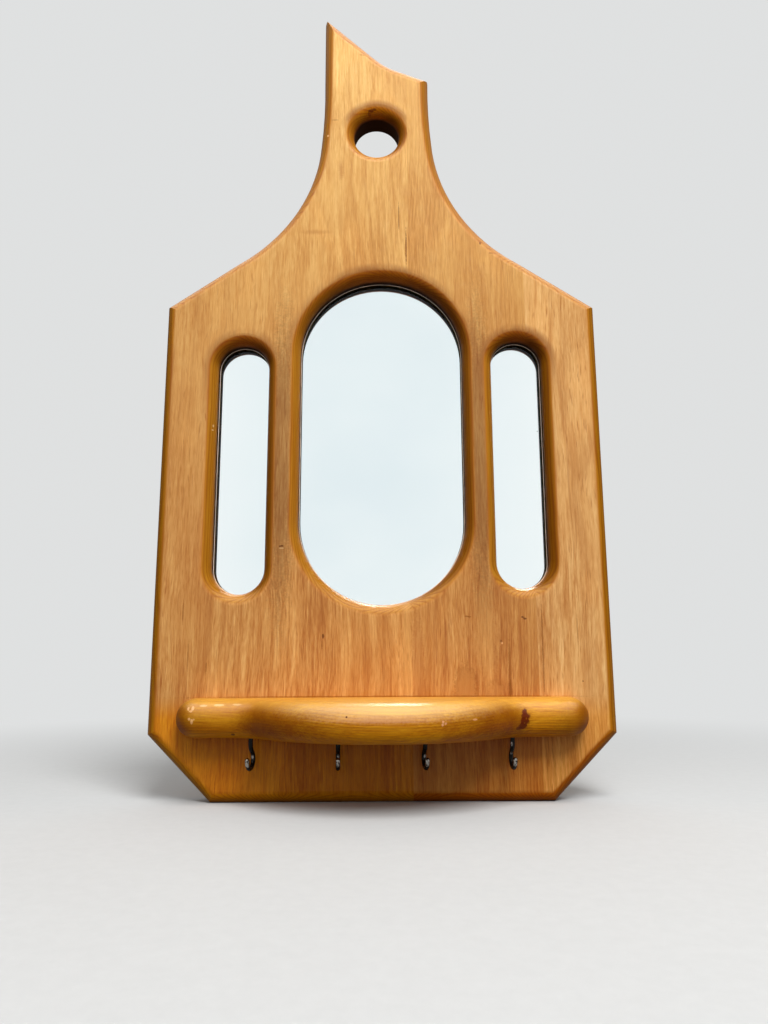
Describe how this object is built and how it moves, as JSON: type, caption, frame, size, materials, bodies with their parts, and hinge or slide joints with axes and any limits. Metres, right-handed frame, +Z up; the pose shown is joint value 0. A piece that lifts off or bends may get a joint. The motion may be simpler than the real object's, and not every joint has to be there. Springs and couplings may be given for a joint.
{
  "type": "wall mirror with shelf and hooks",
  "caption": "Waisted wooden wall mirror that hangs by a hole in its neck, with narrow side mirrors beside the centre one, a bowed shelf and wire screw hooks under it.",
  "frame": {"origin": "on the axis of the hanging hole, in the plane of the board's back, which lies on the wall", "axes": "+Z up, +Y into the wall, so the mirrors face -Y, and +X to the right of someone who faces the mirrors"},
  "size_m": [0.32, 0.09, 0.6017],
  "materials": {
    "wood_pale": "clear gloss lacquer over straight-grained golden wood",
    "wood_red": "clear gloss lacquer over straight-grained reddish wood",
    "wood_shelf": "golden gloss lacquer",
    "mirror": "silvered glass",
    "hardboard": "raw hardboard",
    "bright_steel": "plain steel",
    "dark_steel": "blackened steel wire"
  },
  "bodies": {
    "root": {"stave_1": "wood_pale", "stave_2": "wood_pale", "stave_3": "wood_red", "stave_4": "wood_red", "mirror_left": "mirror", "mirror_centre": "mirror", "mirror_right": "mirror", "backing_left": "hardboard", "backing_centre": "hardboard", "backing_right": "hardboard", "backing_pins": "bright_steel", "shelf": "wood_shelf", "shelf_screws": "bright_steel", "hook_1": "dark_steel", "hook_2": "dark_steel", "hook_3": "dark_steel", "hook_4": "dark_steel"}
  },
  "joints": []
}
